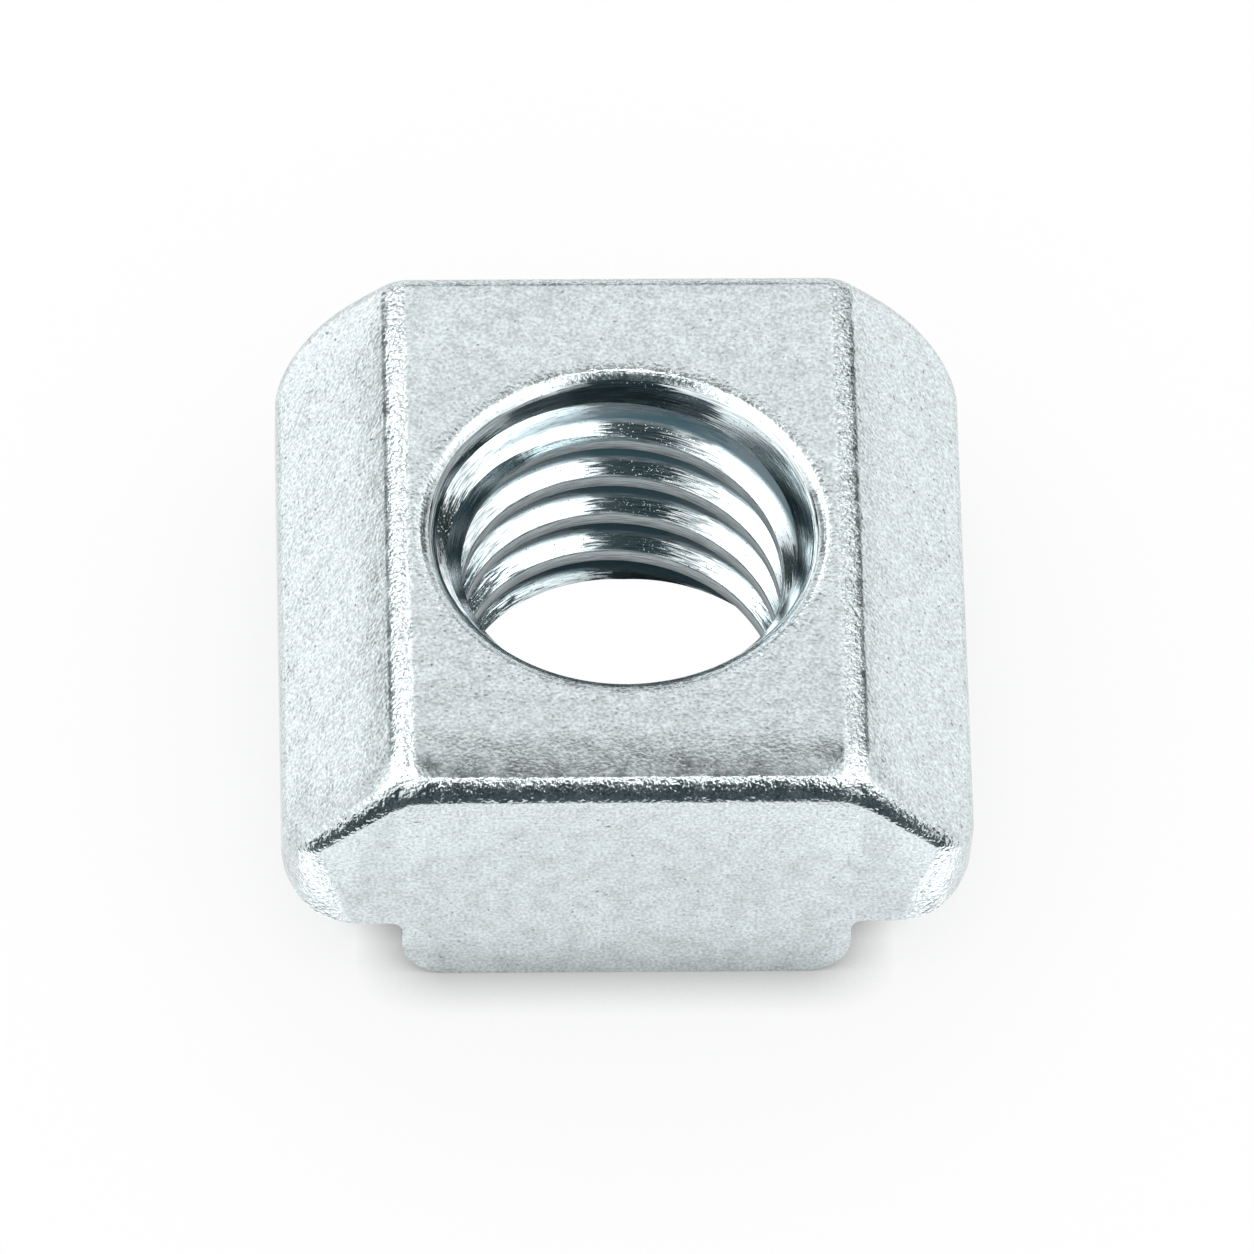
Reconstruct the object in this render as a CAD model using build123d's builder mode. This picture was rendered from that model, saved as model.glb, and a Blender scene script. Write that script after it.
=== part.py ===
from build123d import *

import os
from math import radians, tan

# Slide nut for a T-slot rail: one piece of cold-formed, zinc plated steel with a tapped through hole.
# It stands on its collar, the narrow foot that runs in the mouth of the slot. The wings on both
# sides of the collar bear on the slot's lips, and the slopes clear the tapered walls above them.
# X goes across the slot, Y along it, +Z up; the origin is on the hole's axis, under the collar.
# All sizes are in millimetres.

# Body
body_width = 14.3
body_length = 13.8
nut_height = 6.1
crown_width = 9.4
slope_drop = 2.2

# Collar
collar_width = 9.3
collar_height = 1.7

# Roundings of the section
ridge_radius = 0.9
wing_radius = 0.9
inner_corner_radius = 0.25
collar_edge_radius = 1.0

# Roundings of the ends
end_edge_radius = 0.22
far_corner_radius = 1.75
near_corner_low_radius = 2.3
near_corner_high_radius = 0.1
rim_radius = 0.42

# Thread, M8
thread_diameter = 8.0
thread_pitch = 1.25
drilled_diameter = 6.9
thread_shift = 0.065
upper_mouth_diameter = 8.1
lower_mouth_diameter = 7.1
mouth_angle = 60
lip_radius = 0.4

body_reach = body_width / 2
collar_reach = collar_width / 2
crown_reach = crown_width / 2
end_reach = body_length / 2
slope_foot = nut_height - slope_drop

# Corners of the section with their roundings, up the right side and down the left. The shoulders,
# where the slopes end, are rounded with the rim.
right_corners = [
    ((collar_reach, 0), collar_edge_radius),
    ((collar_reach, collar_height), inner_corner_radius),
    ((body_reach, collar_height), wing_radius),
    ((body_reach, slope_foot), 0),
    ((crown_reach, nut_height), ridge_radius),
]
left_corners = [((-x, z), radius) for (x, z), radius in reversed(right_corners)]
section_corners = right_corners + left_corners

# Metric thread form: flanks at 30 degrees to the thread's cross plane and the groove's root an
# eighth of the pitch wide. The drilled hole leaves the crests.
flank_slope = tan(radians(30))
thread_radius = thread_diameter / 2
root_half_width = thread_pitch / 16

# The cutter of the groove reaches into the bore until its turns nearly touch,
# and starts and ends a pitch outside the nut.
cutter_half_width = thread_pitch * 0.49
cutter_depth = (cutter_half_width - root_half_width) / flank_slope
run_out = thread_pitch


with BuildPart() as nut:
    # Section across the slot: collar, wings, slopes and crown
    with BuildSketch(Plane.XZ):
        with BuildLine():
            FilletPolyline(
                *[point for point, _ in section_corners],
                radius=[radius for _, radius in section_corners],
                close=True,
            )
        make_face()
    extrude(amount=end_reach, both=True)

    # Low edges of both ends, from shoulder to shoulder under the collar
    end_faces = nut.faces().filter_by(Axis.Y)
    low_edges = end_faces.edges().filter_by(lambda edge: edge.center().Z < slope_foot)
    fillet(low_edges, end_edge_radius)

    # Upright corners in plan: the far ones are straight, the near ones open out from nearly sharp
    # at the crown's height to their full rounding at the collar's underside
    for height, near_radius in ((0, near_corner_low_radius), (nut_height, near_corner_high_radius)):
        with BuildSketch(Plane.XY.offset(height)) as plan:
            Rectangle(body_width, body_length)
            fillet(plan.vertices().group_by(Axis.Y)[-1], far_corner_radius)
            fillet(plan.vertices().group_by(Axis.Y)[0], near_radius)
    loft(ruled=True, mode=Mode.INTERSECT)

    # Rim, where the crown and the slopes meet the upright faces all round
    upper_faces = nut.faces().filter_by(lambda face: face.normal_at().Z > 0.1)
    upright_faces = nut.faces().filter_by(lambda face: abs(face.normal_at().Z) < 0.2)
    fillet(upper_faces.edges() & upright_faces.edges(), rim_radius)

    # Mouths of the hole, countersunk, the upper one with a rolled lip
    with BuildSketch(Plane.XY.offset(nut_height)):
        Circle(upper_mouth_diameter / 2)
    extrude(amount=-nut_height / 2, taper=mouth_angle / 2, mode=Mode.SUBTRACT)
    upper_lip = nut.faces().sort_by(Axis.Z)[-1].inner_wires().edges()
    fillet(upper_lip, lip_radius)
    with BuildSketch(Plane.XY):
        Circle(lower_mouth_diameter / 2)
    extrude(amount=nut_height / 2, taper=mouth_angle / 2, mode=Mode.SUBTRACT)

    # Groove of the thread, cut from below the nut to above it
    with BuildLine():
        Helix(
            pitch=thread_pitch,
            height=nut_height + 2 * run_out,
            radius=thread_radius,
            center=(0, 0, thread_shift - run_out),
        )
    cutter_start = Plane(
        origin=(thread_radius, 0, thread_shift - run_out), x_dir=(1, 0, 0), z_dir=(0, -1, 0)
    )
    with BuildSketch(cutter_start):
        with BuildLine():
            Polyline(
                (0, -root_half_width),
                (0, root_half_width),
                (-cutter_depth, cutter_half_width),
                (-cutter_depth, -cutter_half_width),
                close=True,
            )
        make_face()
    sweep(is_frenet=True, mode=Mode.SUBTRACT)

    # Drilled hole between the crests
    with BuildSketch():
        Circle(drilled_diameter / 2)
    extrude(amount=nut_height, mode=Mode.SUBTRACT)

nut.part.label = "slide_nut"
os.makedirs("parts", exist_ok=True)
export_step(nut.part, "parts/slide_nut.step")
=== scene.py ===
"""The slide nut as it looks: its plated skin, its tapped hole and the studio that it stands in.

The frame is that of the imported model: X across the slot, Y along it, Z up. The nut is made in
millimetres, where the operators' tolerances suit its size, and set in metres once it is finished.
"""

import logging
from dataclasses import dataclass, field
from enum import Enum
from math import atan, cos, pi, radians, sin, tan

import bmesh
import bpy
from mathutils import Matrix, Vector


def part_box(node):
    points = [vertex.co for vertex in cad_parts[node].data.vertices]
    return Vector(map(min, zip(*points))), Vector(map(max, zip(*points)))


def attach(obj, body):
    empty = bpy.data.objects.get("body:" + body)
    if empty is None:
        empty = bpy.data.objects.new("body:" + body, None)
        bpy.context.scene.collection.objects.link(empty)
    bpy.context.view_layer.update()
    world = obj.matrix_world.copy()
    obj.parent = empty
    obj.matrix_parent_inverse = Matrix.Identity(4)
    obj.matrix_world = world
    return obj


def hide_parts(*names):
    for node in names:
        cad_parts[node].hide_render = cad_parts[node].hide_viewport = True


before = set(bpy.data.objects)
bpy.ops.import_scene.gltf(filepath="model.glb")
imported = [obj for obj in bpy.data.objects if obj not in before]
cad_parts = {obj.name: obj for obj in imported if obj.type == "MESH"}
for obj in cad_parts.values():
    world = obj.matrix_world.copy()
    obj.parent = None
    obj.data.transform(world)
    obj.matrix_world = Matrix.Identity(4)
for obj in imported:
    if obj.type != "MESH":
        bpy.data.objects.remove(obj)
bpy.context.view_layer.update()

MM = 0.001
NODE = "slide_nut"

# Sizes of the thread that its shape and its finish share, in millimetres
THREAD_PITCH = 1.25
GROOVE_SHIFT = 0.065

QUARTER_TURN = radians(90)
WHITE = (1, 1, 1)

Socket = bpy.types.NodeSocket
Sockets = bpy.types.bpy_prop_collection
Mesh = bmesh.types.BMesh
Edge = bmesh.types.BMEdge
Colour = tuple[float, float, float]
Point = tuple[float, float, float]
Span = tuple[float, float]

logger = logging.getLogger("slide_nut")


class Operation(Enum):
    """What a boolean step keeps of two solids."""

    COMMON = "INTERSECT"
    CUT = "DIFFERENCE"


class Measure(Enum):
    """How the width of a rounding is taken: across the edge, or along the edges that meet it."""

    ACROSS = "OFFSET"
    ALONG = "ABSOLUTE"


class Finish(Enum):
    """The nut's two finishes, in the order of its material slots."""

    SKIN = 0
    THREAD = 1


class Graph:
    """A shader node tree, written as calls that add nodes and links.

    Attributes:
        NOISE_SPAN: The values between which nearly all of a noise pattern lies.
    """

    NOISE_SPAN: Span = (0.3, 0.7)

    def __init__(self, tree: bpy.types.NodeTree) -> None:
        """Takes the node tree to write into, and empties it."""
        self.tree = tree
        tree.nodes.clear()

    def add(self, kind: str, inputs: dict | None = None, **settings: str | int) -> bpy.types.Node:
        """Adds a node.

        Args:
            kind: The node's type name.
            inputs: Input names or places, each with a value or with the socket that feeds it.
            settings: Properties of the node.

        Returns:
            The new node.
        """
        node = self.tree.nodes.new(kind)
        for name, value in settings.items():
            setattr(node, name, value)
        for key, value in (inputs or {}).items():
            if isinstance(value, Socket):
                self.tree.links.new(value, node.inputs[key])
            else:
                node.inputs[key].default_value = value
        return node

    def math(self, operation: str, *terms: Socket | float) -> Socket:
        """Adds a Math node and returns its result."""
        return self.add("ShaderNodeMath", dict(enumerate(terms)), operation=operation).outputs[0]

    def vector(self, operation: str, *terms: Socket | Point) -> Socket:
        """Adds a Vector Math node and returns the vector that it gives."""
        return self.add("ShaderNodeVectorMath", dict(enumerate(terms)), operation=operation).outputs[0]

    def number(self, operation: str, *terms: Socket | Point) -> Socket:
        """Adds a Vector Math node and returns the number that it gives."""
        node = self.add("ShaderNodeVectorMath", dict(enumerate(terms)), operation=operation)
        return node.outputs["Value"]

    def scaled(self, vector: Socket | Colour, factor: Socket) -> Socket:
        """Multiplies a vector or a colour by a number."""
        inputs = {0: vector, "Scale": factor}
        return self.add("ShaderNodeVectorMath", inputs, operation="SCALE").outputs[0]

    def place(self) -> Socket:
        """Gives the object coordinates."""
        return self.add("ShaderNodeTexCoord").outputs["Object"]

    def axes(self, vector: Socket) -> Sockets:
        """Splits a vector into its X, Y and Z."""
        return self.add("ShaderNodeSeparateXYZ", {0: vector}).outputs

    def joined(self, x: Socket, y: Socket, z: Socket | float = 0.0) -> Socket:
        """Makes a vector of its X, Y and Z."""
        return self.add("ShaderNodeCombineXYZ", {0: x, 1: y, 2: z}).outputs[0]

    def turned(self, vector: Socket, angle: float) -> Socket:
        """Turns a vector about Z, by an angle in degrees."""
        inputs = {"Vector": vector, "Rotation": (0, 0, radians(angle))}
        return self.add("ShaderNodeMapping", inputs).outputs[0]

    def radius(self, axes: Sockets) -> Socket:
        """Gives the distance from the Z axis, which is the hole's."""
        return self.number("LENGTH", self.joined(axes["X"], axes["Y"]))

    def noise(self, vector: Socket, grain: float, detail: float = 2) -> Socket:
        """Adds a noise pattern.

        Args:
            vector: The coordinates that it reads.
            grain: The size of its largest features, in the units of the coordinates.
            detail: How many finer octaves it has.

        Returns:
            Its value, from 0 to 1.
        """
        inputs = {"Vector": vector, "Scale": 1 / grain, "Detail": detail}
        return self.add("ShaderNodeTexNoise", inputs).outputs["Fac"]

    def band(
        self, value: Socket, start: float, end: float, low: float, high: float, kind: str = "LINEAR"
    ) -> Socket:
        """Maps a value from one range onto another, and holds it there at both ends.

        Args:
            value: The value.
            start: What becomes low.
            end: What becomes high.
            low: The result at the start.
            high: The result at the end.
            kind: How the result goes from one to the other.

        Returns:
            The result.
        """
        inputs = {"Value": value, "From Min": start, "From Max": end, "To Min": low, "To Max": high}
        return self.add("ShaderNodeMapRange", inputs, interpolation_type=kind).outputs["Result"]

    def swing(self, pattern: Socket, depth: float, middle: float = 0.0) -> Socket:
        """Spreads a noise pattern over a depth, half below a middle value and half above it."""
        return self.band(pattern, *self.NOISE_SPAN, middle - depth / 2, middle + depth / 2)

    def bump(self, height: Socket, depth: float, normal: Socket | None = None) -> Socket:
        """Adds a bump.

        Args:
            height: Its height, where 1 is its whole depth.
            depth: Its whole depth.
            normal: The normal that it tilts, which is the surface's own unless another is given.

        Returns:
            The tilted normal.
        """
        inputs = {"Height": height, "Strength": 1.0, "Distance": depth}
        if normal is not None:
            inputs["Normal"] = normal
        return self.add("ShaderNodeBump", inputs).outputs[0]

    def glow(self, colour: Colour, strength: Socket | float = 1.0) -> Socket:
        """Adds a shader that gives light of its own."""
        inputs = {"Color": (*colour, 1), "Strength": strength}
        return self.add("ShaderNodeEmission", inputs).outputs[0]

    def output(self, shader: Socket, kind: str = "ShaderNodeOutputMaterial") -> None:
        """Sends a shader to the tree's surface output."""
        self.add(kind, {"Surface": shader})


def new_material(name: str) -> tuple[bpy.types.Material, Graph]:
    """Makes an empty node material.

    Args:
        name: The material's name.

    Returns:
        The material and its graph.
    """
    material = bpy.data.materials.new(name)
    material.use_nodes = True
    return material, Graph(material.node_tree)


@dataclass(frozen=True)
class PlatedSkin:
    """Zinc plating over tumbled steel: pale, satin, with a fine grain, clouds and small dark pits.

    A pattern has the width of its features, the shade that it adds to the colour and the depth of
    its bump. A fall is a slight drop of the surface, given by where it starts, where it is whole
    and how deep it is.

    Attributes:
        colour: The colour of the plating.
        roughness_spread: How much rougher or smoother the clouds are.
        dimple_share: The share of the dimples' depth that flat faces have.
        streak_stretch: How many times as long as wide the tumbling marks are.
        streak_way: The way in which they run down the slopes, in degrees from X.
        streak_facing: How squarely a face has to look the slopes' way to show them.
        pit_level: Where in its pattern a pit starts and where it is darkest.
        flat_facing: How squarely flat faces and rounded edges look one of the body's ways.
        beside_lip: The radii between which the flat crown beside the lip grows battered.
        beside_share: How battered it is there.
        on_lip: The radii between which the lip grows smooth.
        lip_share: The share of the dimples' depth that the lip has.
        slope_turn: The angle between the crown's normal and a slope's.
        dish: Radii of the crown's fall towards the hole.
        sag: Distances along the slot of the fall towards the ends.
        ridge: Distances across the slot of the slopes' fall towards the ridges.
        worn_corner: The right near corner of the crown.
        worn: Distances from it of its own fall.
    """

    colour: Colour = (0.675, 0.738, 0.752)
    roughness: float = 0.22
    roughness_spread: float = 0.06
    grain: float = 0.075 * MM
    grain_depth: float = 0.007 * MM
    grain_shade: float = 0.46
    dimple: float = 0.095 * MM
    dimple_depth: float = 0.034 * MM
    dimple_share: float = 0.07
    cloud: float = 0.40 * MM
    cloud_shade: float = 0.22
    ripple: float = 0.8 * MM
    ripple_depth: float = 0.02 * MM
    streak: float = 0.045 * MM
    streak_stretch: float = 5.0
    streak_way: float = 62
    streak_shade: float = 0.12
    streak_facing: Span = (0.93, 0.99)
    pit: float = 0.10 * MM
    pit_shade: float = 0.55
    pit_level: Span = (0.66, 0.76)
    flat_facing: Span = (0.998, 0.975)
    beside_lip: Span = (4.63 * MM, 4.38 * MM)
    beside_share: float = 0.5
    on_lip: Span = (4.18 * MM, 4.33 * MM)
    lip_share: float = 0.12
    slope_turn: float = atan(2.2 / 2.45)
    dish: Span = (4.65 * MM, 4.05 * MM)
    dish_depth: float = 0.06 * MM
    sag: Span = (5.1 * MM, 7.0 * MM)
    sag_depth: float = 0.138 * MM
    ridge: Span = (5.65 * MM, 4.55 * MM)
    ridge_depth: float = 0.06 * MM
    worn_corner: Point = (4.75 * MM, -6.75 * MM, 0)
    worn: Span = (1.1 * MM, 0)
    worn_depth: float = 0.17 * MM

    def material(self) -> bpy.types.Material:
        """Builds the material.

        Returns:
            The material.
        """
        material, graph = new_material("zinc_skin")
        place = graph.place()
        grain = graph.noise(place, self.grain)
        cloud = graph.noise(place, self.cloud, 3)
        pits = graph.noise(place, self.pit, 1)
        dimples = graph.noise(place, self.dimple, 1)

        shade = graph.math("ADD", graph.swing(grain, self.grain_shade), 1)
        shade = graph.math("ADD", shade, graph.swing(cloud, self.cloud_shade))
        shade = graph.math("ADD", shade, self.streaks(graph, place))
        shade = graph.math("SUBTRACT", shade, graph.band(pits, *self.pit_level, 0, self.pit_shade))

        normal = graph.bump(self.fall(graph, place), 1.0)
        normal = graph.bump(graph.noise(place, self.ripple), self.ripple_depth, normal)
        battered = graph.math("MULTIPLY", dimples, self.wear(graph, place))
        normal = graph.bump(battered, self.dimple_depth, normal)
        normal = graph.bump(grain, self.grain_depth, normal)

        shader = graph.add(
            "ShaderNodeBsdfPrincipled",
            {
                "Base Color": graph.scaled(self.colour, shade),
                "Metallic": 1.0,
                "Roughness": graph.swing(cloud, 2 * self.roughness_spread, self.roughness),
                "Normal": normal,
            },
        )
        graph.output(shader.outputs[0])
        return material

    def streaks(self, graph: Graph, place: Socket) -> Socket:
        """Draws the tumbling marks, which run down both slopes alike and fade out elsewhere.

        Args:
            graph: The material's graph.
            place: The object coordinates.

        Returns:
            What the marks add to the shade of the plating.
        """
        axes = graph.axes(place)
        mirrored = graph.joined(graph.math("ABSOLUTE", axes["X"]), axes["Y"], axes["Z"])
        shrink = 1 / self.streak_stretch
        drawn = graph.vector("MULTIPLY", graph.turned(mirrored, self.streak_way), (shrink, 1, shrink))
        shade = graph.swing(graph.noise(drawn, self.streak, 1), self.streak_shade)
        slope = graph.band(self.facing(graph, self.slope_face), *self.streak_facing, 0, 1)
        return graph.math("MULTIPLY", shade, slope)

    @property
    def slope_face(self) -> Point:
        """The normal of the right slope."""
        return sin(self.slope_turn), 0, cos(self.slope_turn)

    def facing(self, graph: Graph, face: Point) -> Socket:
        """Tells how squarely the surface faces a way or its mirror images: 1 is quite."""
        normal = graph.add("ShaderNodeNewGeometry").outputs["Normal"]
        return graph.number("DOT_PRODUCT", graph.vector("ABSOLUTE", normal), face)

    def rounding(self, graph: Graph) -> Socket:
        """Tells flat faces from rounded edges, which tumbling has battered most.

        Args:
            graph: The material's graph.

        Returns:
            0 on flat faces and 1 on rounded edges.
        """
        nearest = self.facing(graph, self.slope_face)
        for face in ((0, 0, 1), (0, 1, 0), (1, 0, 0)):
            nearest = graph.math("MAXIMUM", nearest, self.facing(graph, face))
        return graph.band(nearest, *self.flat_facing, 0, 1)

    def wear(self, graph: Graph, place: Socket) -> Socket:
        """Tells how battered the surface is: rounded edges most, the rolled lip hardly.

        Args:
            graph: The material's graph.
            place: The object coordinates.

        Returns:
            The share of the dimples' depth.
        """
        radius = graph.radius(graph.axes(place))
        beside = graph.band(radius, *self.beside_lip, 0, self.beside_share)
        battered = graph.math("MAXIMUM", self.rounding(graph), beside)
        share = graph.band(battered, 0, 1, self.dimple_share, 1)
        return graph.math("MULTIPLY", share, graph.band(radius, *self.on_lip, self.lip_share, 1))

    def fall(self, graph: Graph, place: Socket) -> Socket:
        """Gives the slight fall of crown and slopes towards hole, ends, ridges and near corners.

        Args:
            graph: The material's graph.
            place: The object coordinates.

        Returns:
            The fall, as a height.
        """
        axes = graph.axes(place)
        side = graph.math("ABSOLUTE", axes["X"])
        corner = graph.number("DISTANCE", graph.joined(side, axes["Y"]), self.worn_corner)
        height: Socket | float = 0.0
        for distance, span, depth in (
            (graph.radius(axes), self.dish, self.dish_depth),
            (graph.math("ABSOLUTE", axes["Y"]), self.sag, self.sag_depth),
            (corner, self.worn, self.worn_depth),
            (side, self.ridge, self.ridge_depth),
        ):
            near = graph.band(distance, *span, 0, 1)
            drop = graph.math("MULTIPLY", graph.math("POWER", near, 2), depth)
            height = graph.math("SUBTRACT", height, drop)
        return height


@dataclass(frozen=True)
class BurnishedThread:
    """Plating inside the hole, rubbed bright by the tap, with fine marks that run round the axis.

    Attributes:
        crest_edge: The radii between which the rough crests give way to the smooth groove.
        depth: The radii between which the painted shade in the groove grows as dark as at its root.
        groove_shade_top: The heights between which that painted shade ends, under the mouth.
        groove_shade_colour: The painted shade of the groove's root, a dark, dull colour in place of its
            shade.
        foot_shade_rise: How far up from the collar's underside the hole has painted shade.
        foot_shade_light: The share of the light that the painted shade leaves at the very bottom.
        crest_span: Where on a turn a crest's painted shade is darkest and its painted light brightest.
        crest_painted_light: The shares of the light at those places, painted shade below 1 and painted
            light above it.
        mark: The width of the tap's marks.
        mark_radius: The radius at which they have that width.
        mark_stretch: How many times as long they are.
        mark_turn: How far a mark turns the surface about the axis, as a slope.
        speck_level: Where in its pattern a speck starts and where it is whole.
        speck_turn: How far a speck turns the surface.
    """

    colour: Colour = (0.70, 0.785, 0.81)
    roughness: float = 0.12
    crest_roughness: float = 0.36
    crest_edge: Span = (3.34 * MM, 3.38 * MM)
    depth: Span = (3.62 * MM, 3.73 * MM)
    groove_shade_top: Span = (5.15 * MM, 5.4 * MM)
    groove_shade_colour: tuple[float, float, float, float] = (0.10, 0.19, 0.23, 1)
    foot_shade_rise: float = 0.5 * MM
    foot_shade_light: float = 0.22
    pitch: float = THREAD_PITCH * MM
    groove_shift: float = GROOVE_SHIFT * MM
    crest_span: Span = (0.36, 0.60)
    crest_painted_light: Span = (0.45, 1.10)
    mark: float = 0.03 * MM
    mark_depth: float = 0.0014 * MM
    mark_radius: float = 4 * MM
    mark_stretch: float = 22.0
    mark_shade: float = 0.9
    mark_turn: float = 0.17
    speck: float = 0.04 * MM
    speck_level: Span = (0.68, 0.76)
    speck_turn: float = 0.9

    def material(self) -> bpy.types.Material:
        """Builds the material.

        Returns:
            The material.
        """
        material, graph = new_material("zinc_thread")
        axes = graph.axes(graph.place())
        height = axes["Z"]
        radius = graph.radius(axes)
        angle = graph.math("ARCTAN2", axes["Y"], axes["X"])
        round_way = graph.math("MULTIPLY", angle, self.mark_radius / self.mark_stretch)
        marks = graph.noise(graph.joined(round_way, radius, height), self.mark)

        shade = graph.swing(marks, self.mark_shade, 1)
        # Painted shade towards the bottom of the hole.
        shade = graph.math("MULTIPLY", shade, graph.band(height, 0, self.foot_shade_rise, self.foot_shade_light, 1))
        # Painted shade on the crests' lower edges and painted light on their upper edges.
        shade = graph.math("MULTIPLY", shade, self.painted_crest_shade(graph, angle, height))
        # Painted shade deep in the groove: below the mouth, its root takes a dark colour that is not
        # metal.
        below_mouth = graph.band(height, *self.groove_shade_top, 1, 0)
        deep = graph.math("MULTIPLY", graph.band(radius, *self.depth, 0, 1), below_mouth)
        # A Mix node names the inputs of each type alike, so they go by their places here.
        colour = graph.add(
            "ShaderNodeMix",
            {0: deep, 6: graph.scaled(self.colour, shade), 7: self.groove_shade_colour},
            data_type="RGBA",
        ).outputs[2]
        shader = graph.add(
            "ShaderNodeBsdfPrincipled",
            {
                "Base Color": colour,
                "Metallic": graph.band(deep, 0, 1, 1, 0),
                "Roughness": graph.band(radius, *self.crest_edge, self.crest_roughness, self.roughness),
                "Normal": self.turned_normal(graph, marks),
            },
        )
        graph.output(shader.outputs[0])
        return material

    def painted_crest_shade(self, graph: Graph, angle: Socket, height: Socket) -> Socket:
        """Paints shade on the crests of the thread towards their lower edges, and light towards their
        upper edges.

        Args:
            graph: The material's graph.
            angle: The angle about the hole's axis.
            height: The height above the collar's underside.

        Returns:
            The share of the light, below 1 where shade is painted and above 1 where light is.
        """
        turns = graph.math("DIVIDE", graph.math("SUBTRACT", height, self.groove_shift), self.pitch)
        wound = graph.math("SUBTRACT", turns, graph.math("DIVIDE", angle, 2 * pi))
        return graph.band(graph.math("FRACT", wound), *self.crest_span, *self.crest_painted_light)

    def turned_normal(self, graph: Graph, marks: Socket) -> Socket:
        """Tilts the surface along the marks, each by its own amount, and more at a few specks.

        Args:
            graph: The material's graph.
            marks: The pattern of the marks.

        Returns:
            The tilted normal.
        """
        place = graph.place()
        axes = graph.axes(place)
        back = graph.math("MULTIPLY", axes["Y"], -1)
        along = graph.vector("NORMALIZE", graph.joined(back, axes["X"]))
        turn = graph.band(marks, 0, 1, -self.mark_turn, self.mark_turn)
        specks = graph.noise(place, self.speck, 1)
        turn = graph.math("ADD", turn, graph.band(specks, *self.speck_level, 0, self.speck_turn))
        normal = graph.vector("ADD", graph.bump(marks, self.mark_depth), graph.scaled(along, turn))
        return graph.vector("NORMALIZE", normal)


def new_object(name: str, bm: Mesh) -> bpy.types.Object:
    """Turns a bmesh into an object in the scene, and frees it.

    Args:
        name: The object's name.
        bm: The mesh.

    Returns:
        The object, at the origin.
    """
    mesh = bpy.data.meshes.new(name)
    bm.to_mesh(mesh)
    bm.free()
    obj = bpy.data.objects.new(name, mesh)
    bpy.context.scene.collection.objects.link(obj)
    return obj


def bake_modifiers(obj: bpy.types.Object) -> None:
    """Makes what the object's modifiers show its own mesh, and removes them.

    Args:
        obj: The object.
    """
    bpy.context.view_layer.update()
    graph = bpy.context.evaluated_depsgraph_get()
    old = obj.data
    shown = bpy.data.meshes.new_from_object(obj.evaluated_get(graph))
    obj.modifiers.clear()
    obj.data = shown
    bpy.data.meshes.remove(old)


def combine(obj: bpy.types.Object, other: bpy.types.Object, operation: Operation) -> None:
    """Cuts one solid by another, which is used up.

    Args:
        obj: The solid that is kept.
        other: The solid that cuts it.
        operation: What is kept.
    """
    step = obj.modifiers.new("cut", "BOOLEAN")
    step.operation = operation.value
    step.solver = "EXACT"
    step.object = other
    bake_modifiers(obj)
    mesh = other.data
    bpy.data.objects.remove(other)
    bpy.data.meshes.remove(mesh)


def round_edges(
    bm: Mesh,
    edges: list[Edge],
    radius: float,
    turn: float,
    segments: int,
    measure: Measure = Measure.ACROSS,
) -> None:
    """Rounds edges of a mesh that turn by one angle.

    Args:
        bm: The mesh.
        edges: The edges.
        radius: The radius of the rounding.
        turn: The angle between the normals of the faces that meet there.
        segments: How many strips the rounding has.
        measure: How its width is taken.
    """
    bmesh.ops.bevel(
        bm,
        geom=edges,
        offset=radius * tan(turn / 2),
        offset_type=measure.value,
        affect="EDGES",
        segments=segments,
        profile=0.5,
        material=-1,
        clamp_overlap=False,
    )


def middle_height(edge: Edge) -> float:
    """The height of an edge's middle."""
    return sum(v.co.z for v in edge.verts) / 2


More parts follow.
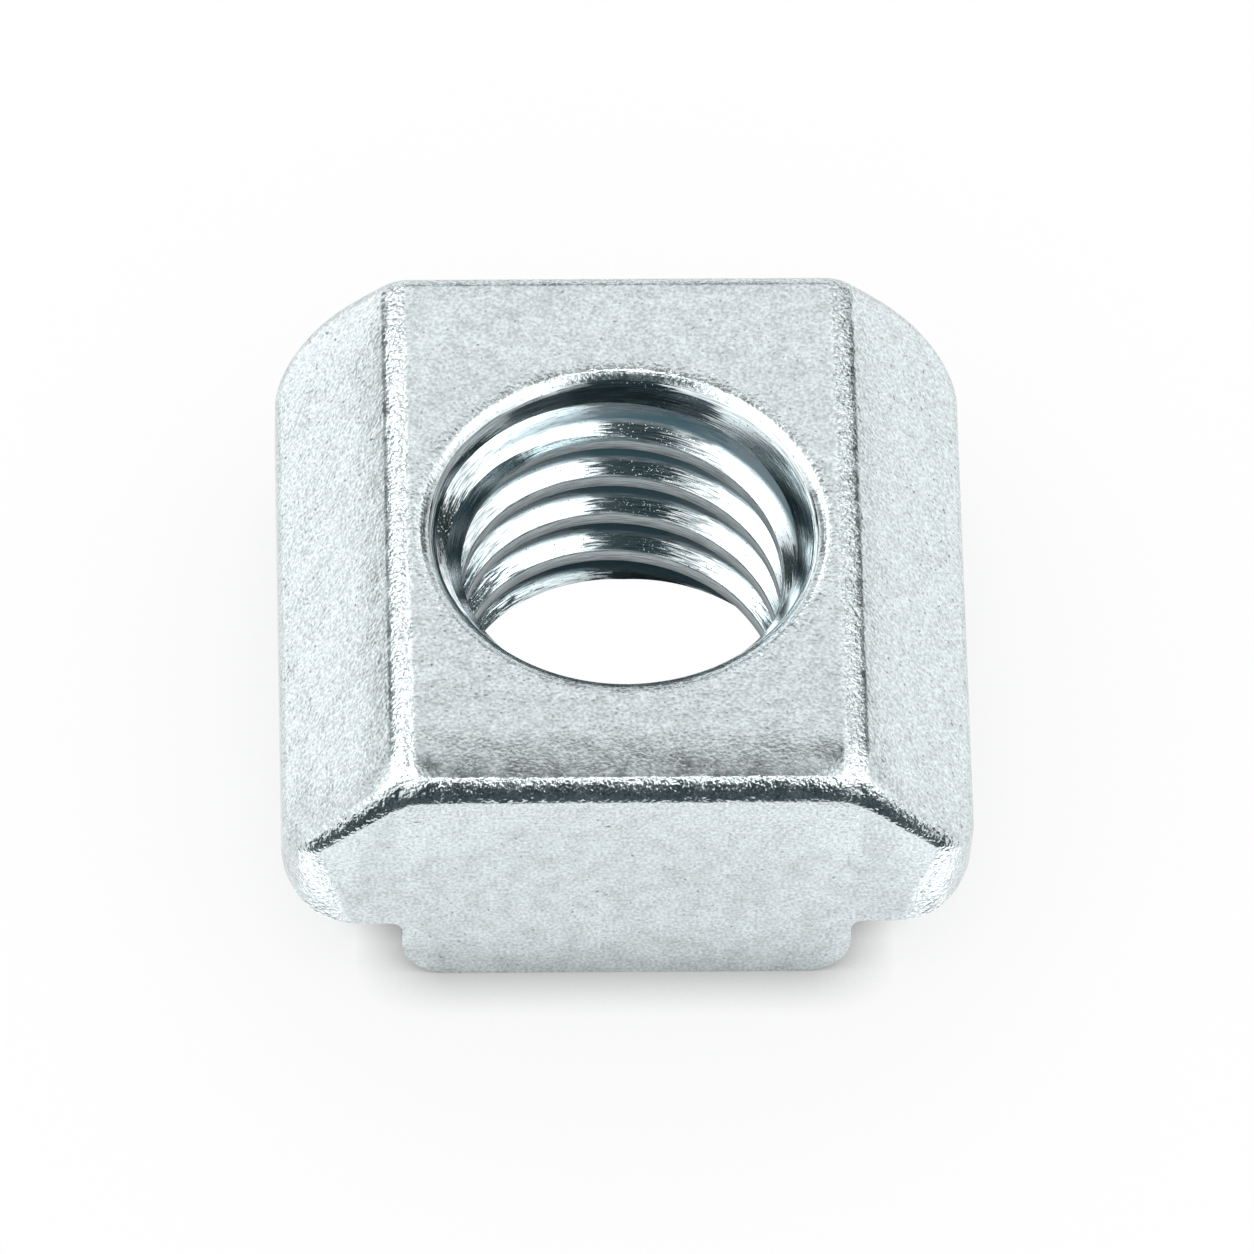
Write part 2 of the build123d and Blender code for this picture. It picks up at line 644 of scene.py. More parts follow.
@dataclass
class NutBody:
    """The pressed body: collar, wings, slopes and crown. Its outer size is the frame's.

    Attributes:
        low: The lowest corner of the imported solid's box.
        high: Its highest corner.
        slope_drop: How far the slopes fall from the crown to the upright sides.
        near_low_radius: The near corners' radius in plan at the collar's underside.
        near_high_radius: Their radius at the crown's height.
        clearance: How much wider than the section the block is that rounds it in plan.
        spare: How far that block reaches above and below the section.
        on_line: How near a vertex has to be to a line to lie on it.
        merge: How near each other two vertices have to be to become one.
        square_on: The least that the normal of an end points along Y.
        rim_tilt: The most that the normal of an upright face rises at the rim.
        rim_rise: The least that the normal of the crown or a slope rises there.
        rim_slack: How far below the shoulders the middle of a rim's edge may lie.
    """

    low: Vector
    high: Vector
    crown_width: float = 9.4
    slope_drop: float = 2.2
    collar_width: float = 9.3
    collar_height: float = 1.7
    ridge_radius: float = 0.9
    wing_radius: float = 0.9
    inner_radius: float = 0.25
    collar_radius: float = 1.0
    end_radius: float = 0.22
    far_radius: float = 1.75
    near_low_radius: float = 2.3
    near_high_radius: float = 0.1
    rim_radius: float = 0.42
    clearance: float = 0.0004
    spare: float = 0.2
    ridge_segments: int = 10
    wing_segments: int = 16
    inner_segments: int = 8
    collar_segments: int = 18
    end_segments: int = 6
    corner_segments: int = 28
    rim_segments: int = 8
    on_line: float = 0.001
    merge: float = 0.0005
    square_on: float = 0.99
    rim_tilt: float = 0.2
    rim_rise: float = 0.6
    rim_slack: float = 0.01

    @property
    def height(self) -> float:
        """The height of the crown above the collar's underside."""
        return self.high.z

    @property
    def shoulder(self) -> float:
        """The height of the slopes' lower ends."""
        return self.height - self.slope_drop

    @property
    def slope_turn(self) -> float:
        """The angle between the crown's normal and a slope's."""
        return atan(self.slope_drop / (self.high.x - self.crown_width / 2))

    def build(self) -> bpy.types.Object:
        """Builds the body without its hole.

        Returns:
            The body, in millimetres.
        """
        bm = bmesh.new()
        collar, crown = self.collar_width / 2, self.crown_width / 2
        half = [
            (collar, 0),
            (collar, self.collar_height),
            (self.high.x, self.collar_height),
            (self.high.x, self.shoulder),
            (crown, self.height),
        ]
        corners = half + [(-x, z) for x, z in reversed(half)]
        section = [bm.verts.new((x, self.low.y, z)) for x, z in corners]
        end = bmesh.ops.contextual_create(bm, geom=section)["faces"]
        pulled = bmesh.ops.extrude_face_region(bm, geom=end)["geom"]
        moved = [part for part in pulled if isinstance(part, bmesh.types.BMVert)]
        bmesh.ops.translate(bm, verts=moved, vec=(0, self.high.y - self.low.y, 0))
        bmesh.ops.recalc_face_normals(bm, faces=bm.faces)

        for x, z, radius, turn, segments in (
            (collar, 0, self.collar_radius, QUARTER_TURN, self.collar_segments),
            (collar, self.collar_height, self.inner_radius, QUARTER_TURN, self.inner_segments),
            (self.high.x, self.collar_height, self.wing_radius, QUARTER_TURN, self.wing_segments),
            (crown, self.height, self.ridge_radius, self.slope_turn, self.ridge_segments),
        ):
            round_edges(bm, self.long_edges(bm, x, z), radius, turn, segments)
        low_edges = self.low_end_edges(bm)
        round_edges(bm, low_edges, self.end_radius, QUARTER_TURN, self.end_segments, Measure.ALONG)

        body = new_object("slide_nut_body", bm)
        combine(body, self.plan_block(), Operation.COMMON)
        self.round_rim(body)
        return body

    def long_edges(self, bm: Mesh, x: float, z: float) -> list[Edge]:
        """Finds the edges of the section that run along Y through two mirrored corners.

        Args:
            bm: The section, pulled along Y.
            x: How far the corners are to either side of the middle.
            z: Their height.

        Returns:
            The edges.
        """
        corners = [Vector((x, 0, z)), Vector((-x, 0, z))]
        return [edge for edge in bm.edges if any(self.lies_on(edge, corner) for corner in corners)]

    def lies_on(self, edge: Edge, corner: Vector) -> bool:
        """Tells whether an edge lies on the line along Y through a corner of the section."""
        return all((v.co - corner).xz.length < self.on_line for v in edge.verts)

    def low_end_edges(self, bm: Mesh) -> list[Edge]:
        """Finds the edges of both ends, from shoulder to shoulder under the collar.

        Args:
            bm: The section, pulled along Y.

        Returns:
            The edges.
        """
        return [
            edge
            for edge in bm.edges
            if middle_height(edge) < self.shoulder
            and any(abs(face.normal.y) > self.square_on for face in edge.link_faces)
        ]

    def plan_block(self) -> bpy.types.Object:
        """Builds the block, rounded in plan, that the section is trimmed to.

        Its far corners are straight. Its near ones open out downwards.

        Returns:
            The block.
        """
        bm = bmesh.new()
        bmesh.ops.create_cube(bm, size=1)
        size = self.high - self.low + Vector((self.clearance, self.clearance, 2 * self.spare))
        bmesh.ops.scale(bm, vec=size, verts=bm.verts)
        bmesh.ops.translate(bm, verts=bm.verts, vec=(0, 0, self.height / 2))
        upright = [e for e in bm.edges if abs(e.verts[0].co.z - e.verts[1].co.z) > self.height]
        round_edges(bm, upright, self.far_radius, QUARTER_TURN, self.corner_segments)
        # The near corners start out like the far ones and are scaled at both levels, about where
        # they would be if they were sharp. All of an arc lies within a radius of that place.
        within = self.far_radius * 1.01
        for side in (-1, 1):
            for level in (-self.spare, self.height + self.spare):
                corner = Vector((side * size.x / 2, -size.y / 2, level))
                arc = [v for v in bm.verts if (v.co - corner).length < within]
                share = self.near_radius(level) / self.far_radius
                space = Matrix.Translation(-corner)
                bmesh.ops.scale(bm, vec=(share, share, 1), space=space, verts=arc)
        return new_object("slide_nut_plan", bm)

    def near_radius(self, level: float) -> float:
        """The radius of the near corners in plan at a height above the collar's underside."""
        rise = level / self.height
        return self.near_low_radius * (1 - rise) + self.near_high_radius * rise

    def round_rim(self, body: bpy.types.Object) -> None:
        """Rounds the rim, where the crown and the slopes meet the upright faces all round.

        Args:
            body: The body, trimmed in plan.
        """
        bm = bmesh.new()
        bm.from_mesh(body.data)
        bmesh.ops.remove_doubles(bm, verts=bm.verts, dist=self.merge)
        weights = bm.edges.layers.float.new("bevel_weight_edge")
        rim_foot = self.shoulder - self.rim_slack
        for edge in bm.edges:
            upright, upper = sorted(abs(face.normal.z) for face in edge.link_faces)
            if upright < self.rim_tilt and upper > self.rim_rise and middle_height(edge) > rim_foot:
                # The width that gives one radius grows with the angle that the edge turns by.
                edge[weights] = tan(edge.calc_face_angle() / 2)
        bm.to_mesh(body.data)
        bm.free()
        rounding = body.modifiers.new("rim", "BEVEL")
        rounding.limit_method = "WEIGHT"
        rounding.offset_type = Measure.ACROSS.value
        rounding.width = self.rim_radius
        rounding.segments = self.rim_segments
        rounding.profile = 0.5
        rounding.use_clamp_overlap = False
        bake_modifiers(body)


@dataclass
class TappedHole:
    """The hole: its two mouths and its thread, an M8 with the groove cut right through.

    Attributes:
        height: The height of the nut.
        groove_shift: The height of the groove's middle on the right, where a turn starts.
        mouth_slope: How far a mouth opens for each millimetre of its height.
        flank_slope: How far a flank rises for each millimetre of its depth.
        steps: How many steps a full turn has.
        spare: How far the mouths' cutter reaches beyond the nut.
        core_gap: How far the core between the mouths stays clear of the crests.
        merge: How near each other two vertices of the thread have to be to become one.
        tiny: The same for the mouths, and for a cut through the thread.
        on_line: How near a vertex has to be to a line to lie on it.
        crease: The least angle that a sharp edge of the wound profile turns by.
    """

    height: float
    major_diameter: float = 8.0
    pitch: float = THREAD_PITCH
    crest_diameter: float = 6.66
    groove_shift: float = GROOVE_SHIFT
    upper_mouth: float = 8.1
    lower_mouth: float = 7.0
    mouth_slope: float = tan(radians(30))
    lip_radius: float = 0.4
    crest_rounding: float = 0.05
    root_rounding: float = 0.05
    rounding_segments: int = 3
    flank_slope: float = tan(radians(30))
    steps: int = 160
    spare: float = 0.5
    core_gap: float = 0.1
    merge: float = 0.002
    tiny: float = 0.0001
    on_line: float = 0.004
    crease: float = radians(20)

    def mouths(self) -> bpy.types.Object:
        """Builds the cutter of both mouths, joined by a core that is thinner than the thread.

        Returns:
            The cutter.
        """
        core = self.crest_diameter / 2 - self.core_gap
        upper, lower = self.upper_mouth / 2, self.lower_mouth / 2
        profile = [
            (0, -self.spare),
            (lower + self.spare * self.mouth_slope, -self.spare),
            (core, (lower - core) / self.mouth_slope),
            (core, self.height - (upper - core) / self.mouth_slope),
            (upper + self.spare * self.mouth_slope, self.height + self.spare),
            (0, self.height + self.spare),
        ]
        bm = bmesh.new()
        self.wind(bm, profile, turns=1, rise=0)
        bmesh.ops.remove_doubles(bm, verts=bm.verts, dist=self.tiny)
        bmesh.ops.recalc_face_normals(bm, faces=bm.faces)
        return new_object("slide_nut_mouths", bm)

    def thread(self) -> bpy.types.Object:
        """Builds the cutter of the thread: one turn's profile wound up the axis and cut off flat.

        Returns:
            The cutter.
        """
        crest, root = self.crest_diameter / 2, self.major_diameter / 2
        root_half = self.pitch / 16
        groove_half = root_half + (root - crest) * self.flank_slope
        start = self.groove_shift - 2 * self.pitch
        turns = int((self.height + 4 * self.pitch) / self.pitch) + 2
        half_turn = [(root, root_half), (crest, groove_half), (crest, self.pitch / 2)]
        profile = [(r, -z) for r, z in reversed(half_turn)] + half_turn
        bm = bmesh.new()
        self.wind(bm, [(r, start + z) for r, z in profile], turns, rise=self.pitch)
        bmesh.ops.remove_doubles(bm, verts=bm.verts, dist=self.merge)
        flank_turn = QUARTER_TURN - atan(self.flank_slope)
        for radius, rounding in ((crest, self.crest_rounding), (root, self.root_rounding)):
            creases = self.creases(bm, radius)
            round_edges(bm, creases, rounding, flank_turn, self.rounding_segments)
        for height, outwards in ((-self.pitch / 2, -1), (self.height + self.pitch / 2, 1)):
            cut = bmesh.ops.bisect_plane(
                bm,
                geom=[*bm.verts, *bm.edges, *bm.faces],
                dist=self.tiny,
                plane_co=(0, 0, height),
                plane_no=(0, 0, outwards),
                clear_outer=True,
            )["geom_cut"]
            rim = [part for part in cut if isinstance(part, Edge)]
            bmesh.ops.edgeloop_fill(bm, edges=rim)
        bmesh.ops.recalc_face_normals(bm, faces=bm.faces)
        return new_object("slide_nut_tap", bm)

    def wind(self, bm: Mesh, profile: list[Span], turns: int, rise: float) -> None:
        """Winds a profile round the hole's axis.

        Args:
            bm: The mesh to make it in.
            profile: Its points, each a radius and a height.
            turns: How many turns it is wound for.
            rise: How far it rises in each turn. A profile that doesn't rise closes up.
        """
        line = [bm.verts.new((r, 0, z)) for r, z in profile]
        edges = [bm.edges.new(pair) for pair in zip(line, line[1:])]
        bmesh.ops.spin(
            bm,
            geom=line + edges,
            cent=(0, 0, 0),
            axis=(0, 0, 1),
            dvec=(0, 0, rise / self.steps),
            angle=2 * pi * turns,
            steps=self.steps * turns,
            use_merge=not rise,
        )

    def creases(self, bm: Mesh, radius: float) -> list[Edge]:
        """Finds the sharp edges of the wound profile that run along the thread at a radius.

        Args:
            bm: The wound profile.
            radius: The radius.

        Returns:
            The edges.
        """
        return [
            edge
            for edge in bm.edges
            if len(edge.link_faces) == 2
            and edge.calc_face_angle() > self.crease
            and all(abs(v.co.xy.length - radius) < self.on_line for v in edge.verts)
        ]


@dataclass
class SlideNut:
    """The whole nut: the body, the hole that is cut from it, and their finishes.

    Attributes:
        crease_angle: The least angle that an edge left sharp turns by.
        near_mouth: How near the mouth's radius the sharp edge of the lip lies.
        on_line: How near a vertex has to be to a height or a radius to count as at it.
    """

    body: NutBody
    hole: TappedHole
    skin: PlatedSkin = field(default_factory=PlatedSkin)
    thread: BurnishedThread = field(default_factory=BurnishedThread)
    lip_segments: int = 10
    crease_angle: float = radians(28)
    near_mouth: float = 0.01
    on_line: float = 0.001

    def build(self) -> bpy.types.Object:
        """Builds the nut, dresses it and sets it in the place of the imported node.

        Returns:
            The nut, in metres.
        """
        nut = self.body.build()
        nut.name = "slide_nut_plated"
        combine(nut, self.hole.mouths(), Operation.CUT)
        self.round_lip(nut)
        combine(nut, self.hole.thread(), Operation.CUT)
        self.dress(nut)
        self.set_in_metres(nut)
        self.smooth(nut)
        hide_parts(NODE)
        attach(nut, "root")
        return nut

    def round_lip(self, nut: bpy.types.Object) -> None:
        """Rolls the lip of the hole, where its upper mouth meets the crown.

        Args:
            nut: The body with its mouths cut.
        """
        bm = bmesh.new()
        bm.from_mesh(nut.data)
        ring = [edge for edge in bm.edges if all(self.on_lip(v.co) for v in edge.verts)]
        turn = QUARTER_TURN - atan(self.hole.mouth_slope)
        round_edges(bm, ring, self.hole.lip_radius, turn, self.lip_segments)
        bm.to_mesh(nut.data)
        bm.free()

    def on_lip(self, point: Vector) -> bool:
        """Tells whether a point is on the circle where the upper mouth meets the crown."""
        on_circle = abs(point.xy.length - self.hole.upper_mouth / 2) < self.near_mouth
        return on_circle and abs(point.z - self.body.height) < self.on_line

    def dress(self, nut: bpy.types.Object) -> None:
        """Gives the faces of the hole the thread's finish and all others the skin.

        Args:
            nut: The finished shape.
        """
        nut.data.materials.clear()
        nut.data.materials.append(self.skin.material())
        nut.data.materials.append(self.thread.material())
        edge = self.hole.upper_mouth / 2 + self.on_line
        vertices = nut.data.vertices
        for face in nut.data.polygons:
            inside = all(vertices[i].co.xy.length < edge for i in face.vertices)
            face.material_index = (Finish.THREAD if inside else Finish.SKIN).value

    def set_in_metres(self, nut: bpy.types.Object) -> None:
        """Scales the finished mesh from millimetres, in which it was made, to metres.

        Args:
            nut: The nut.
        """
        bm = bmesh.new()
        bm.from_mesh(nut.data)
        bmesh.ops.scale(bm, vec=(MM, MM, MM), verts=bm.verts)
        bm.to_mesh(nut.data)
        bm.free()

    def smooth(self, nut: bpy.types.Object) -> None:
        """Shades the nut smooth up to its creases, with flat faces kept flat.

        Args:
            nut: The nut.
        """
        nut.data.shade_smooth()
        nut.data.set_sharp_from_angle(angle=self.crease_angle)
        weighted = nut.modifiers.new("flats", "WEIGHTED_NORMAL")
        weighted.keep_sharp = True
        weighted.weight = 100


@dataclass(frozen=True)
class Card:
    """A soft-edged card, bent round the nut, that only the metal's reflections show.

    Angles are in degrees, azimuth from the near side towards the right, elevation from the floor.

    Attributes:
        azimuth: Where its middle hangs round the nut.
        elevation: How high its middle hangs.
        half_width: How far it reaches to either side.
        half_height: How far it reaches up and down.
        colour: The light it gives, where 1 is the white of the sky.
        soft: How far in from its edges it fades.
        distance: How far from the nut it hangs.
        rows: How many strips it has from foot to top.
        columns: How many strips it has from side to side.
    """

    name: str
    azimuth: float
    elevation: float
    half_width: float
    half_height: float
    colour: Colour
    soft: float = 8
    distance: float = 150 * MM
    rows: int = 16
    columns: int = 32

    def build(self) -> bpy.types.Object:
        """Hangs the card.

        Returns:
            The card.
        """
        bm = bmesh.new()
        side_edge = self.azimuth - self.half_width
        foot = direction(side_edge, self.elevation - self.half_height)
        point = bm.verts.new(foot * self.distance)
        bmesh.ops.spin(
            bm,
            geom=[point],
            cent=(0, 0, 0),
            axis=-direction(side_edge + 90, 0),
            angle=radians(2 * self.half_height),
            steps=self.rows,
        )
        sweep_round(bm, self.half_width, self.columns)
        return reflected_piece(self.name, bm, self.material())

    def material(self) -> bpy.types.Material:
        """Builds the glow of the card, which fades out towards its edges.

        Returns:
            The material.
        """
        material, graph = new_material(self.name)
        place = graph.place()
        axes = graph.axes(graph.turned(place, -self.azimuth))
        forward = graph.math("MULTIPLY", axes["Y"], -1)
        across = graph.math("ABSOLUTE", graph.math("ARCTAN2", axes["X"], forward))
        rise = graph.math("ARCSINE", graph.math("DIVIDE", axes["Z"], graph.number("LENGTH", place)))
        off = graph.math("ABSOLUTE", graph.math("SUBTRACT", rise, radians(self.elevation)))
        sides, ends = (
            graph.band(angle, radians(half - self.soft), radians(half), 1, 0, "SMOOTHSTEP")
            for angle, half in ((across, self.half_width), (off, self.half_height))
        )
        clear = graph.add("ShaderNodeBsdfTransparent").outputs[0]
        mixed = graph.add(
            "ShaderNodeMixShader",
            {0: graph.math("MULTIPLY", sides, ends), 1: clear, 2: graph.glow(self.colour)},
        )
        graph.output(mixed.outputs[0])
        return material


@dataclass(frozen=True)
class FloorCard:
    """A card that lies on the floor round the nut, which only the metal's reflections show.

    Attributes:
        azimuth: Where its middle lies, in degrees from the near side towards the right.
        half_width: How far it reaches to either side, in degrees.
        inner: How far from the hole's axis it starts.
        outer: How far it reaches.
        colour: The light it gives, where 1 is the white of the floor.
        lift: How high it lies.
        columns: How many strips it has from side to side.
    """

    name: str
    azimuth: float
    half_width: float
    inner: float
    outer: float
    colour: Colour
    lift: float = 0.02 * MM
    columns: int = 48

    def build(self) -> bpy.types.Object:
        """Lays the card.

        Returns:
            The card.
        """
        bm = bmesh.new()
        way = direction(self.azimuth - self.half_width, 0)
        lift = Vector((0, 0, self.lift))
        bm.edges.new([bm.verts.new(way * reach + lift) for reach in (self.inner, self.outer)])
        sweep_round(bm, self.half_width, self.columns)
        return reflected_piece(self.name, bm, glowing_material(self.name, self.colour))


@dataclass
class Studio:
    """A white floor under a plain white sky, with painted shadows and a painted light spot under the
    nut, and cards for the metal to reflect.

    Attributes:
        floor_drop: How far below the collar's underside the floor lies.
        floor_matt: The share of the floor's white that it owes to the light.
        shadow_reach: How far the nut's painted contact shadow reaches.
        painted_shadow_reach: How far across and along the slot the painted shadow under the nut
            reaches.
        painted_shadow_soft: How far in from there it fades.
        painted_shadow_light: The share of its glow that the painted shadow leaves the floor there.
        spot_reflected_shade: The brightness of the painted light spot under the hole as the metal
            reflects it, there a painted shade.
        shadow_patch_reach: How far the painted shadow patch reaches across and along the slot.
        sky: The sky's light, for all but the camera.
    """

    floor_reach: float = 400 * MM
    floor_drop: float = 0.004 * MM
    floor_matt: float = 0.22
    shadow_reach: float = 1.2 * MM
    shadow_samples: int = 4
    painted_shadow_reach: Span = (6.0 * MM, 6.1 * MM)
    painted_shadow_soft: float = 1.2 * MM
    painted_shadow_light: float = 0.3
    hole_radius: float = 3.9 * MM
    hole_segments: int = 64
    hole_drop: float = 0.002 * MM
    spot_reflected_shade: float = 0.45
    shadow_patch_reach: Span = (7.0 * MM, 6.8 * MM)
    shadow_patch_drop: float = 0.003 * MM
    shadow_patch_colour: Colour = (0.09, 0.11, 0.12)
    sky: float = 1.0
    cards: tuple[Card | FloorCard, ...] = (
        Card("room_low", 6, 11, 58, 15, (0.10, 0.13, 0.14), soft=6, distance=160 * MM),
        Card("room_front", 0, 42, 32, 40, (0.035, 0.055, 0.06), soft=8),
        Card("room_top", -12, 72, 46, 18, (0.04, 0.07, 0.08), soft=5, distance=155 * MM),
        Card("room_back", 180, 23, 30, 9, (0.22, 0.24, 0.25), soft=4, distance=152 * MM),
        Card("room_left", -131, 23, 16, 10, (0.02, 0.03, 0.03), soft=4),
        Card("room_right", 131, 25, 16, 12, (0.02, 0.03, 0.03), soft=4),
        Card("box_left", -94, 52, 40, 22, (2.5, 2.55, 2.55), soft=8),
        Card("box_right", 77, 54, 47, 20, (2.2, 2.25, 2.25), soft=9),
        Card("dim_back", 180, 71, 38, 11, (0.15, 0.16, 0.16), soft=3),
        Card("strip_top", 180, 85, 180, 4.5, (3.2, 3.2, 3.2), soft=1.5, distance=140 * MM),
        Card("fill_back", 170, 50, 32, 9, (1.12, 1.12, 1.12), soft=16, distance=165 * MM),
        Card("strip_left", -147, 42, 13, 9, (3.8, 3.8, 3.8), soft=6),
        Card("strip_right", 147, 42, 13, 9, (1.6, 1.6, 1.6), soft=6),
        Card("horizon_left", -145, 3, 35, 8, (1.54, 1.54, 1.54), soft=5),
        Card("horizon_right", 145, 3, 35, 8, (1.20, 1.20, 1.20), soft=5),
        Card("glint_left", -60, 6, 9, 8, (1.5, 1.55, 1.55), soft=5, distance=158 * MM),
        FloorCard("table_end", 0, 48, 13.2 * MM, 150 * MM, (0.06, 0.08, 0.085)),
        FloorCard("glow_front", 0, 34, 11.4 * MM, 13.2 * MM, (1.35, 1.35, 1.35)),
        FloorCard("glow_left", -44, 7, 10.4 * MM, 14 * MM, (1.7, 1.7, 1.7), lift=0.03 * MM),
        FloorCard("glow_right", 44, 7, 10.4 * MM, 14 * MM, (1.7, 1.7, 1.7), lift=0.03 * MM),
    )

    def build(self) -> list[bpy.types.Object]:
        """Builds the floor, the sky and the cards.

        Returns:
            The pieces of the stage.
        """
        self.light_sky()
        pieces = [self.floor(), self.painted_light_spot(), self.painted_shadow_patch()]
        return pieces + [card.build() for card in self.cards]

    def floor(self) -> bpy.types.Object:
        """Builds the floor: partly matt, partly glowing white, with painted shadow in its glow close to
        and under the nut.

        Returns:
            The floor.
        """
        reach = (self.floor_reach, self.floor_reach)
        floor = new_object("floor", rectangle(reach, self.floor_drop))
        material, graph = new_material("white_floor")
        matt = graph.add("ShaderNodeBsdfDiffuse", {"Color": (*(self.floor_matt,) * 3, 1)})
        rays = graph.add("ShaderNodeLightPath").outputs
        seen = graph.math("MAXIMUM", rays["Is Camera Ray"], rays["Is Glossy Ray"])
        seen = graph.math("MAXIMUM", seen, rays["Is Transmission Ray"])
        # The glow carries a painted shadow: a contact shadow from ambient occlusion, deeper under the
        # nut.
        contact = graph.add(
            "ShaderNodeAmbientOcclusion", {"Distance": self.shadow_reach}, samples=self.shadow_samples
        ).outputs["AO"]
        contact = graph.math("MULTIPLY", contact, self.under(graph))
        strength = graph.math("MULTIPLY", seen, 1 - self.floor_matt * self.sky)
        strength = graph.math("MULTIPLY", strength, contact)
        both = graph.add("ShaderNodeAddShader", {0: matt.outputs[0], 1: graph.glow(WHITE, strength)})
        graph.output(both.outputs[0])
        floor.data.materials.append(material)
        return floor

    def under(self, graph: Graph) -> Socket:
        """Paints the shadow on the floor under the nut, as the share of the glow that it leaves.

        Args:
            graph: The floor material's graph.

        Returns:
            The share of the light, where 1 is all of it.
        """
        axes = graph.axes(graph.vector("ABSOLUTE", graph.place()))
        across, along = (
            graph.band(axes[name], reach, reach - self.painted_shadow_soft, 0, 1)
            for name, reach in zip("XY", self.painted_shadow_reach)
        )
        return graph.band(graph.math("MULTIPLY", across, along), 0, 1, 1, self.painted_shadow_light)

    def painted_light_spot(self) -> bpy.types.Object:
        """Paints light over the shadow on the floor under the hole, so that it is as white as the rest
        of it.

        Returns:
            The spot of painted light.
        """
        bm = bmesh.new()
        bmesh.ops.create_circle(bm, cap_ends=True, segments=self.hole_segments, radius=self.hole_radius)
        bmesh.ops.translate(bm, verts=bm.verts, vec=(0, 0, -self.hole_drop))
        spot = new_object("painted_light_spot", bm)
        material, graph = new_material("painted_light_spot")
        # Painted light for the camera, where the floor under the hole lies in shadow, and painted shade
        # for the metal's reflections.
        mirrored = graph.add("ShaderNodeLightPath").outputs["Is Glossy Ray"]
        graph.output(graph.glow(WHITE, graph.band(mirrored, 0, 1, 1, self.spot_reflected_shade)))
        spot.data.materials.append(material)
        spot.visible_diffuse = False
        return spot

    def painted_shadow_patch(self) -> bpy.types.Object:
        """Paints a shadow on the floor under the nut, outside the hole, for the metal's reflections.

        Returns:
            The patch.
        """
        # A dark sheet that stands in for the shadow under the nut: a painted shadow.
        bm = rectangle(self.shadow_patch_reach, self.shadow_patch_drop)
        return reflected_piece("painted_shadow_patch", bm, glowing_material("painted_shadow_patch", self.shadow_patch_colour))

    def light_sky(self) -> None:
        """Makes the sky: white for the camera, a plain level for everything else."""
        world = bpy.data.worlds.new("studio")
        bpy.context.scene.world = world
        world.use_nodes = True
        graph = Graph(world.node_tree)
        rays = graph.add("ShaderNodeLightPath").outputs
        strength = graph.band(rays["Is Camera Ray"], 0, 1, self.sky, 1.0)
        sky = graph.add("ShaderNodeBackground", {"Color": (*WHITE, 1), "Strength": strength})
        graph.output(sky.outputs[0], "ShaderNodeOutputWorld")


def rectangle(reach: Span, drop: float) -> Mesh:
    """Makes a flat rectangle about the hole's axis.

    Args:
        reach: How far it reaches across and along the slot.
        drop: How far below the collar's underside it lies.

    Returns:
        The rectangle.
    """
    bm = bmesh.new()
    bmesh.ops.create_grid(bm, x_segments=1, y_segments=1, size=1)
    bmesh.ops.scale(bm, vec=(*reach, 1), verts=bm.verts)
    bmesh.ops.translate(bm, verts=bm.verts, vec=(0, 0, -drop))
    return bm


def sweep_round(bm: Mesh, half_width: float, columns: int) -> None:
    """Sweeps a line from a card's left side to its right, round the hole's axis.

    Args:
        bm: The mesh, with the line at the left side.
        half_width: Half the angle that the card takes up, in degrees.
        columns: How many strips the sweep makes.
    """
    bmesh.ops.spin(
        bm,
        geom=[*bm.verts, *bm.edges],
        cent=(0, 0, 0),
        axis=(0, 0, 1),
        angle=radians(2 * half_width),
        steps=columns,
    )


def glowing_material(name: str, colour: Colour) -> bpy.types.Material:
    """Makes a material that gives an even light.

    Args:
        name: The material's name.
        colour: Its light, where 1 is the white of the floor.

    Returns:
        The material.
    """
    material, graph = new_material(name)
    graph.output(graph.glow(colour))
    return material


def reflected_piece(name: str, bm: Mesh, material: bpy.types.Material) -> bpy.types.Object:
    """Makes a part of the stage that neither lights the floor nor shows to the camera.

    Args:
        name: The piece's name.
        bm: Its mesh.
        material: Its material.

    Returns:
        The piece.
    """
    piece = new_object(name, bm)
    piece.data.materials.append(material)
    piece.visible_camera = False
    piece.visible_diffuse = False
    piece.visible_shadow = False
    return piece


def direction(azimuth: float, elevation: float) -> Vector:
    """The way from the nut to a place round it: azimuth 0 is the near side, 90 the right."""
    around, up = radians(azimuth), radians(elevation)
    return Vector((sin(around) * cos(up), -cos(around) * cos(up), sin(up)))


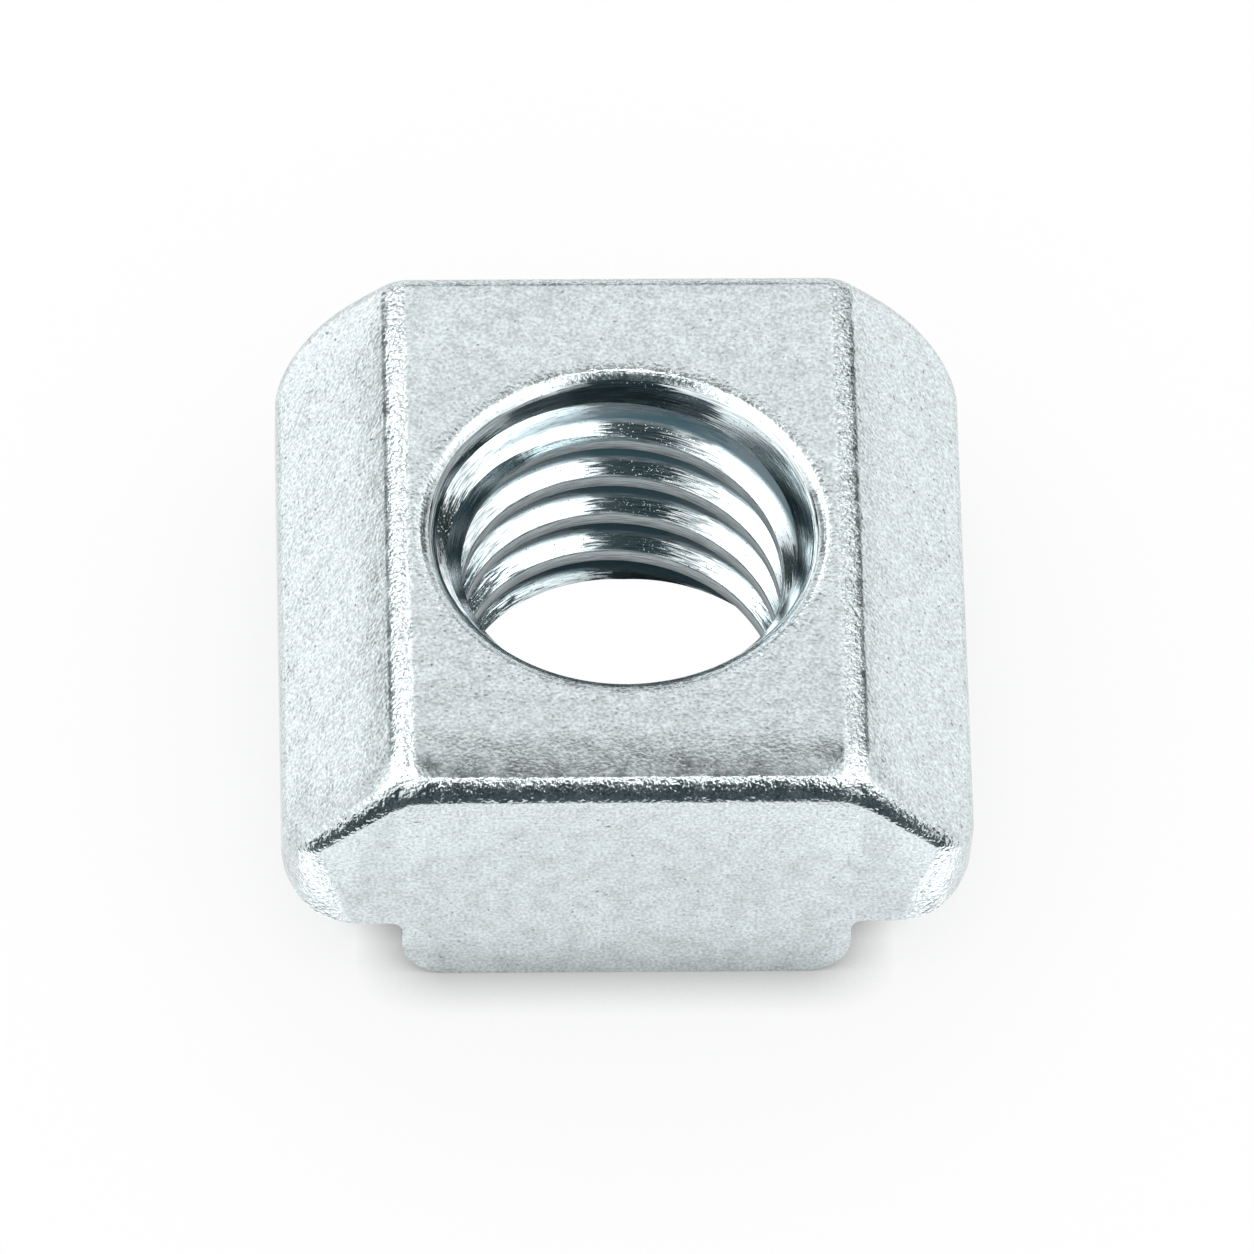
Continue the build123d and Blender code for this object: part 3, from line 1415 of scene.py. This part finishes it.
@dataclass(frozen=True)
class PhotoView:
    """The photograph's view: a long lens that looks down on the nut.

    Attributes:
        image_size: The width and the height of the image, in pixels.
        azimuth: Where the camera stands round the nut, in degrees.
        elevation: How steeply it looks down, in degrees.
        roll: How far it is turned about its own line of sight, in degrees.
        distance: How far it is from the aim.
        pixels_per_metre: The scale of the image at the aim.
        centre_x: Where the aim's image is, from the left.
        centre_y: Where it is from the top.
        aim: The point that the camera looks at.
        sensor: The width of the sensor, in millimetres.
    """

    image_size: int = 1254
    azimuth: float = -2.66
    elevation: float = 51.68
    roll: float = 1.77
    distance: float = 471.6 * MM
    pixels_per_metre: float = 48006.0
    centre_x: float = 620.96
    centre_y: float = 617.68
    aim: Point = (0, 0, 3.1245 * MM)
    sensor: float = 36.0

    def build(self) -> bpy.types.Object:
        """Makes the camera and gives it to the scene.

        Returns:
            The camera.
        """
        data = bpy.data.cameras.new("photo_view")
        data.sensor_width = self.sensor
        data.lens = self.pixels_per_metre * self.distance * self.sensor / self.image_size
        data.shift_x = (self.image_size / 2 - self.centre_x) / self.image_size
        data.shift_y = (self.centre_y - self.image_size / 2) / self.image_size
        camera = bpy.data.objects.new("photo_view", data)
        way = direction(self.azimuth, self.elevation)
        level_right = (-way).cross(Vector((0, 0, 1))).normalized()
        level_up = level_right.cross(-way)
        roll = radians(self.roll)
        right = level_right * cos(roll) + level_up * sin(roll)
        up = level_up * cos(roll) - level_right * sin(roll)
        turn = Matrix((right, up, way)).transposed().to_4x4()
        camera.matrix_world = Matrix.Translation(Vector(self.aim) + way * self.distance) @ turn
        bpy.context.scene.collection.objects.link(camera)
        bpy.context.scene.camera = camera
        return camera


def report(piece: bpy.types.Object) -> None:
    """Logs a finished piece with its number of triangles."""
    triangles = sum(len(face.vertices) - 2 for face in piece.data.polygons)
    logger.info("%s: %d triangles", piece.name, triangles)


def main() -> None:
    """Builds the nut, the studio and the camera, and reports each piece."""
    low, high = (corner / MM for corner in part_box(NODE))
    report(SlideNut(NutBody(low, high), TappedHole(high.z)).build())
    for piece in Studio().build():
        report(piece)
    camera = PhotoView().build()
    logger.info("%s: a lens of %.0f mm", camera.name, camera.data.lens)
    bpy.context.scene.view_settings.view_transform = "Standard"


if __name__ == "__main__":
    logging.basicConfig(level=logging.INFO, format="%(name)s: %(message)s")
    main()
